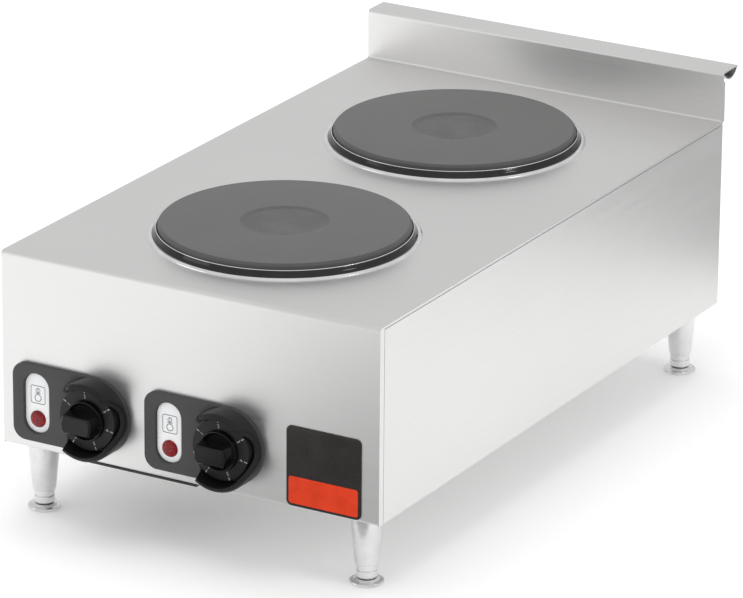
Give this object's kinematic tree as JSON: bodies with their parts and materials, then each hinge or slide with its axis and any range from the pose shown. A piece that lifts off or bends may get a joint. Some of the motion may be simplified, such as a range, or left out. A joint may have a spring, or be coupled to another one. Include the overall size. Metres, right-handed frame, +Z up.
{
  "type": "hot plate",
  "caption": "Countertop electric hot plate: stainless box with backsplash, round cast iron plates in a row, guarded rotary controls and tapered adjustable legs.",
  "frame": {"origin": "on the counter, midway between the legs across the width and at the middle of the overall depth", "axes": "+X to the right as seen from the front, +Y from the controls to the backsplash, +Z up"},
  "size_m": [0.3726, 0.686, 0.2864],
  "materials": {
    "stainless_sheet": "satin, grain along the longer edge",
    "black_steel": "satin black",
    "plated_steel": "dull zinc plate",
    "leg_steel": "fine satin, turned",
    "cast_iron": "ground top with fine circular lay, black coating",
    "ceramic": "unglazed",
    "polished_steel": "polished",
    "bezel_plastic": "fine spark texture on the flat part, satin on the guard",
    "label_white": "smooth",
    "lens_red": "clear red moulding with fine facets",
    "black_plastic": "satin",
    "knob_plastic": "satin",
    "brass": "nickel-free, dull",
    "badge_black": "satin",
    "badge_orange": "satin",
    "wire_red": "braided silicone",
    "wire_black": "braided silicone"
  },
  "bodies": {
    "cabinet": {"deck_panel": "stainless_sheet", "side_panel_left": "stainless_sheet", "side_panel_right": "stainless_sheet", "rear_panel": "stainless_sheet", "bottom_pan": "stainless_sheet", "control_access_cover": "black_steel", "heat_shield": "plated_steel", "leg_gussets": "plated_steel", "leg_nuts": "plated_steel", "leg_front_left": "leg_steel", "leg_front_right": "leg_steel", "leg_rear_left": "leg_steel", "leg_rear_right": "leg_steel", "hotplate_front": "cast_iron", "hotplate_rear": "cast_iron", "heating_coils_front": "ceramic", "heating_coils_rear": "ceramic", "trim_ring_front": "polished_steel", "trim_ring_rear": "polished_steel", "hotplate_cover_front": "plated_steel", "hotplate_cover_rear": "plated_steel", "clamp_bar_front": "plated_steel", "clamp_bar_rear": "plated_steel", "hotplate_stud_front": "plated_steel", "hotplate_stud_rear": "plated_steel", "clamp_nuts": "plated_steel", "hotplate_terminals_front": "ceramic", "hotplate_terminals_rear": "ceramic", "control_bezel_left": "bezel_plastic", "control_bezel_right": "bezel_plastic", "label_plate_left": "label_white", "label_plate_right": "label_white", "pilot_lens_left": "lens_red", "pilot_lens_right": "lens_red", "pilot_body_left": "black_plastic", "pilot_body_right": "black_plastic", "switch_body_left": "ceramic", "switch_body_right": "ceramic", "switch_nuts": "brass", "terminal_block": "black_plastic", "cable_gland": "black_plastic", "gland_nut": "black_plastic", "badge_plate": "badge_black", "badge_inlay": "badge_orange", "panel_screws": "polished_steel", "plate_wiring_front": "wire_red", "plate_wiring_rear": "wire_red", "supply_wiring": "wire_black"},
    "front_left_foot_stem": {"foot_stem_front_left": "leg_steel"},
    "front_right_foot_stem": {"foot_stem_front_right": "leg_steel"},
    "rear_left_foot_stem": {"foot_stem_rear_left": "leg_steel"},
    "rear_right_foot_stem": {"foot_stem_rear_right": "leg_steel"},
    "front_left_foot_pad": {"foot_pad_front_left": "leg_steel"},
    "front_right_foot_pad": {"foot_pad_front_right": "leg_steel"},
    "rear_left_foot_pad": {"foot_pad_rear_left": "leg_steel"},
    "rear_right_foot_pad": {"foot_pad_rear_right": "leg_steel"},
    "left_control": {"knob_left": "knob_plastic", "switch_shaft_left": "plated_steel"},
    "right_control": {"knob_right": "knob_plastic", "switch_shaft_right": "plated_steel"}
  },
  "joints": [
    {"name": "knob_left_turn", "type": "hinge", "parent": "cabinet", "child": "left_control", "pos_m": [-0.09235, -0.31, 0.1073], "axis": [0, 1, 0], "continuous": true},
    {"name": "knob_right_turn", "type": "hinge", "parent": "cabinet", "child": "right_control", "pos_m": [0.04045, -0.31, 0.1073], "axis": [0, 1, 0], "continuous": true},
    {"name": "foot_front_left_height", "type": "slide", "parent": "cabinet", "child": "front_left_foot_stem", "axis": [0, 0, -1], "range_m": [0, 0.015]},
    {"name": "foot_front_left_turn", "type": "hinge", "parent": "front_left_foot_stem", "child": "front_left_foot_pad", "pos_m": [-0.16125, -0.286, 0], "axis": [0, 0, -1], "range_deg": [0, 3600]},
    {"name": "foot_front_right_height", "type": "slide", "parent": "cabinet", "child": "front_right_foot_stem", "axis": [0, 0, -1], "range_m": [0, 0.015]},
    {"name": "foot_front_right_turn", "type": "hinge", "parent": "front_right_foot_stem", "child": "front_right_foot_pad", "pos_m": [0.16125, -0.286, 0], "axis": [0, 0, -1], "range_deg": [0, 3600]},
    {"name": "foot_rear_left_height", "type": "slide", "parent": "cabinet", "child": "rear_left_foot_stem", "axis": [0, 0, -1], "range_m": [0, 0.015]},
    {"name": "foot_rear_left_turn", "type": "hinge", "parent": "rear_left_foot_stem", "child": "rear_left_foot_pad", "pos_m": [-0.16125, 0.292, 0], "axis": [0, 0, -1], "range_deg": [0, 3600]},
    {"name": "foot_rear_right_height", "type": "slide", "parent": "cabinet", "child": "rear_right_foot_stem", "axis": [0, 0, -1], "range_m": [0, 0.015]},
    {"name": "foot_rear_right_turn", "type": "hinge", "parent": "rear_right_foot_stem", "child": "rear_right_foot_pad", "pos_m": [0.16125, 0.292, 0], "axis": [0, 0, -1], "range_deg": [0, 3600]}
  ],
  "couplings": [
    {"joint": "foot_front_left_turn", "follows": "foot_front_left_height", "rad_per_m": 4188.8},
    {"joint": "foot_front_right_turn", "follows": "foot_front_right_height", "rad_per_m": 4188.8},
    {"joint": "foot_rear_left_turn", "follows": "foot_rear_left_height", "rad_per_m": 4188.8},
    {"joint": "foot_rear_right_turn", "follows": "foot_rear_right_height", "rad_per_m": 4188.8}
  ]
}
